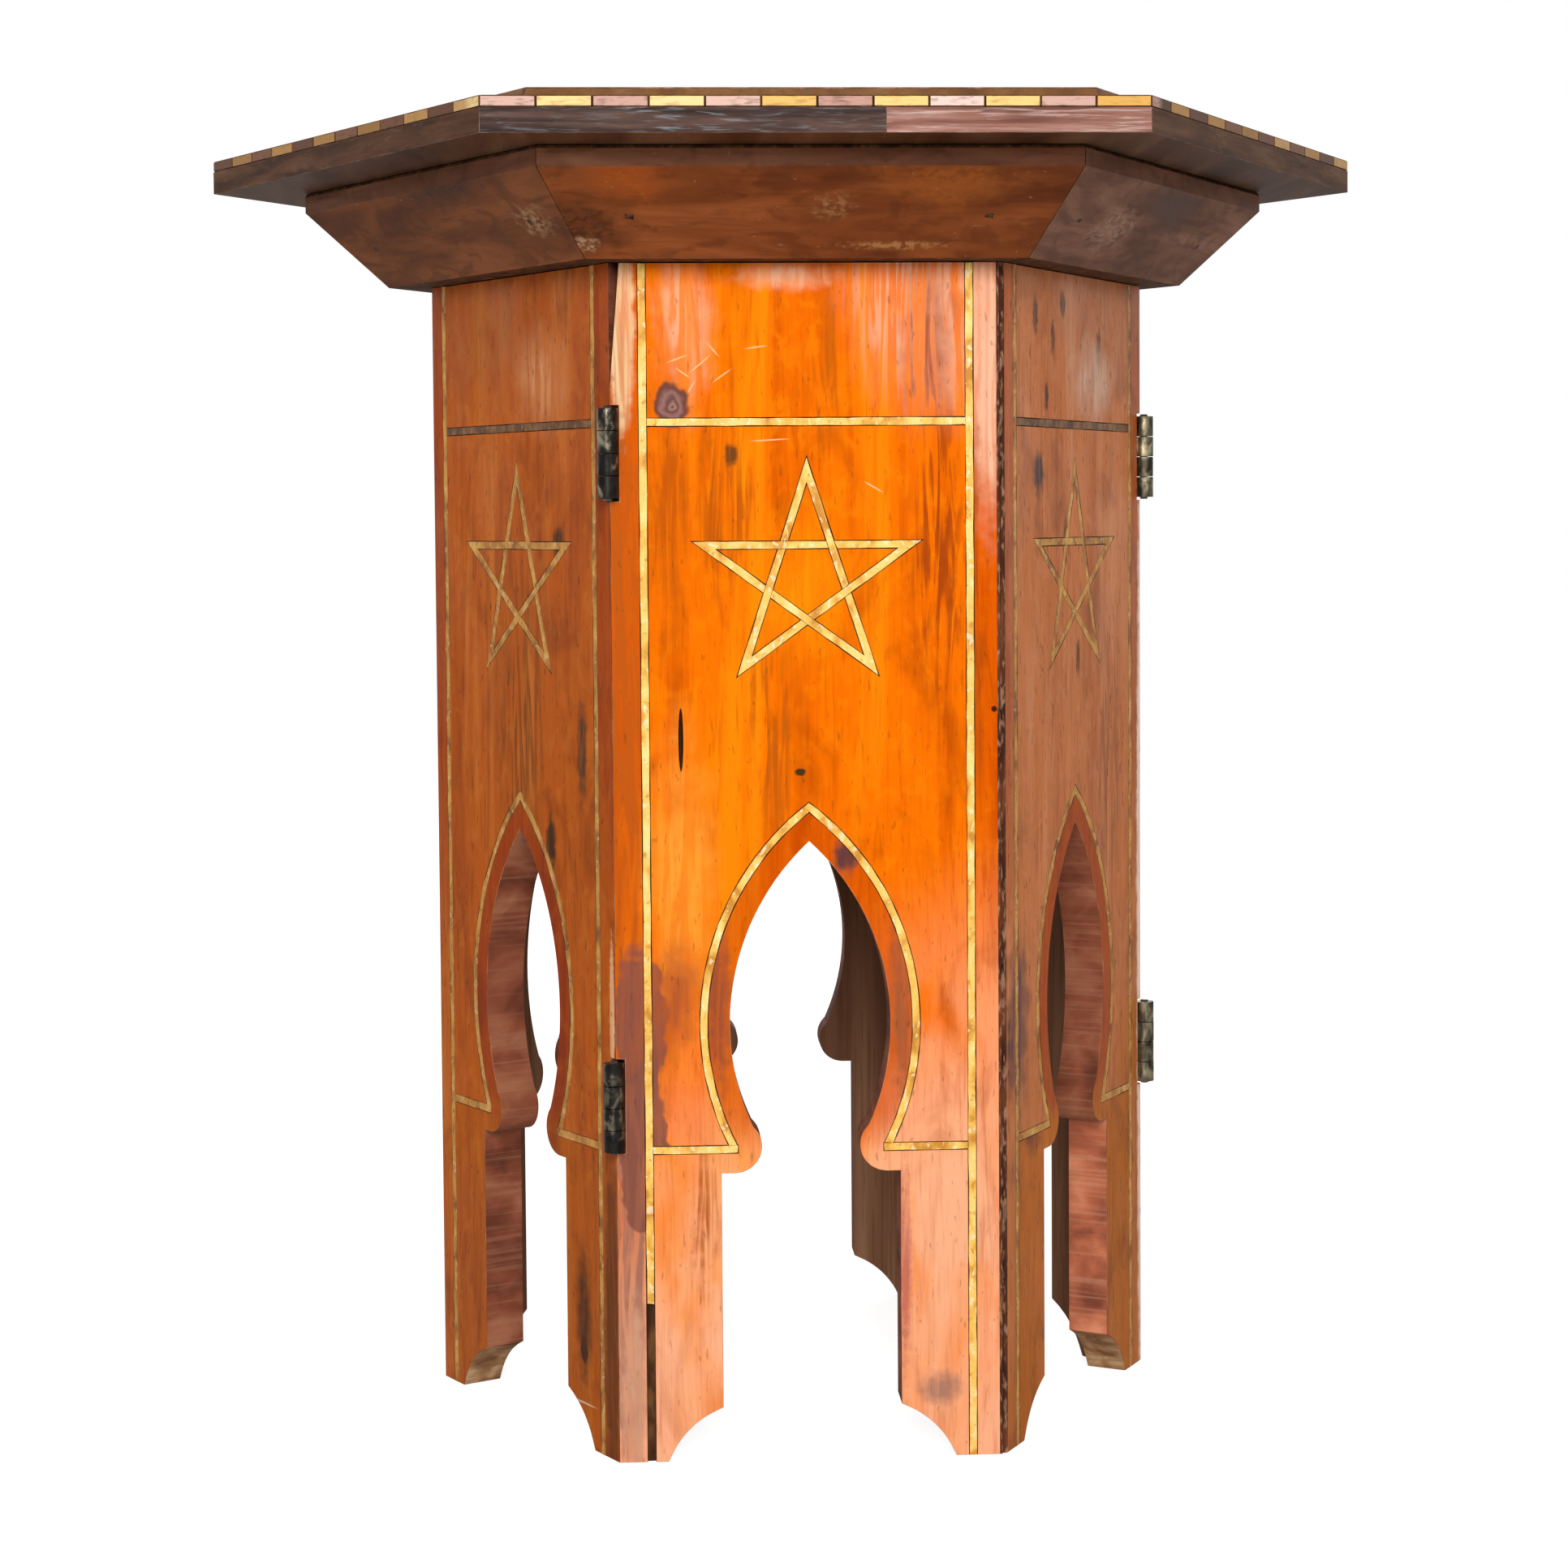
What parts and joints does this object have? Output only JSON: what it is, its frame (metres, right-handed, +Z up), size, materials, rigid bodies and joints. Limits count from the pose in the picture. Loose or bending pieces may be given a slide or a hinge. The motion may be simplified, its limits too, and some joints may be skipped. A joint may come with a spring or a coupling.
{
  "type": "folding drinks table",
  "caption": "Hexagonal folding side table: arched panels hinged edge to edge into a base that folds to a star, pale stringing with a woven star, and a lift-off top with a block border.",
  "frame": {"origin": "on the floor, at the vertical axis of the hexagon", "axes": "+Z up, the front panel faces -Y, corners of the top on +X and -X"},
  "size_m": [0.448, 0.388, 0.4875],
  "materials": {
    "panel_wood": "shellacked pine, amber, worn",
    "stringing_wood": "pale boxwood stringing, satin",
    "apron_wood": "brown stained wood, dull",
    "top_board_wood": "dark weathered boards with paint scuffs",
    "top_field_wood": "brown weathered wood",
    "dark_block_wood": "reddish brown edging blocks",
    "light_block_wood": "pale yellow edging blocks",
    "peg_wood": "plain turned dowel",
    "hinge_brass": "tarnished, grey-green patina",
    "pin_steel": "dull steel pins",
    "screw_steel": "dull steel screws",
    "nail_iron": "dark iron nails"
  },
  "bodies": {
    "table_top": {"top_board_left": "top_board_wood", "top_board_right": "top_board_wood", "top_field": "top_field_wood", "dark_border_blocks": "dark_block_wood", "light_border_blocks": "light_block_wood", "front_apron": "apron_wood", "front_right_apron": "apron_wood", "back_right_apron": "apron_wood", "back_apron": "apron_wood", "back_left_apron": "apron_wood", "front_left_apron": "apron_wood", "apron_nails": "nail_iron", "locating_pegs": "peg_wood"},
    "front_side": {"front_panel": "panel_wood", "front_stringing": "stringing_wood", "front_panel_right_leaves": "hinge_brass", "front_panel_left_leaves": "hinge_brass", "front_panel_screws": "screw_steel", "front_right_corner_pins": "pin_steel"},
    "front_right_side": {"front_right_panel": "panel_wood", "front_right_stringing": "stringing_wood", "front_right_panel_right_leaves": "hinge_brass", "front_right_panel_left_leaves": "hinge_brass", "front_right_panel_screws": "screw_steel", "right_corner_pins": "pin_steel"},
    "back_right_side": {"back_right_panel": "panel_wood", "back_right_stringing": "stringing_wood", "back_right_panel_right_leaves": "hinge_brass", "back_right_panel_left_leaves": "hinge_brass", "back_right_panel_screws": "screw_steel", "back_right_corner_pins": "pin_steel"},
    "back_side": {"back_panel": "panel_wood", "back_stringing": "stringing_wood", "back_panel_right_leaves": "hinge_brass", "back_panel_left_leaves": "hinge_brass", "back_panel_screws": "screw_steel", "back_left_corner_pins": "pin_steel"},
    "back_left_side": {"back_left_panel": "panel_wood", "back_left_stringing": "stringing_wood", "back_left_panel_right_leaves": "hinge_brass", "back_left_panel_left_leaves": "hinge_brass", "back_left_panel_screws": "screw_steel", "left_corner_pins": "pin_steel"},
    "front_left_side": {"front_left_panel": "panel_wood", "front_left_stringing": "stringing_wood", "front_left_panel_right_leaves": "hinge_brass", "front_left_panel_left_leaves": "hinge_brass", "front_left_panel_screws": "screw_steel", "front_left_corner_pins": "pin_steel"}
  },
  "joints": [
    {"name": "fold_front_right", "type": "hinge", "parent": "front_side", "child": "front_right_side", "pos_m": [0.06026, -0.10438, 0.13], "axis": [0, 0, 1], "range_deg": [0, 120]},
    {"name": "fold_right", "type": "hinge", "parent": "front_right_side", "child": "back_right_side", "pos_m": [0.142, 0, 0.13], "axis": [0, 0, 1], "range_deg": [-120, 0]},
    {"name": "fold_back_right", "type": "hinge", "parent": "back_right_side", "child": "back_side", "pos_m": [0.06026, 0.10438, 0.13], "axis": [0, 0, 1], "range_deg": [0, 120]},
    {"name": "fold_front_left", "type": "hinge", "parent": "front_side", "child": "front_left_side", "pos_m": [-0.071, -0.12298, 0.13], "axis": [0, 0, 1], "range_deg": [0, 120]},
    {"name": "fold_left", "type": "hinge", "parent": "front_left_side", "child": "back_left_side", "pos_m": [-0.12052, 0, 0.13], "axis": [0, 0, 1], "range_deg": [-120, 0]},
    {"name": "top_lift", "type": "slide", "parent": "front_side", "child": "table_top", "axis": [0, 0, 1], "range_m": [0, 0.1]}
  ],
  "couplings": [
    {"joint": "fold_right", "follows": "fold_front_right", "ratio": -1},
    {"joint": "fold_back_right", "follows": "fold_front_right", "ratio": 1},
    {"joint": "fold_front_left", "follows": "fold_front_right", "ratio": 1},
    {"joint": "fold_left", "follows": "fold_front_right", "ratio": -1}
  ]
}
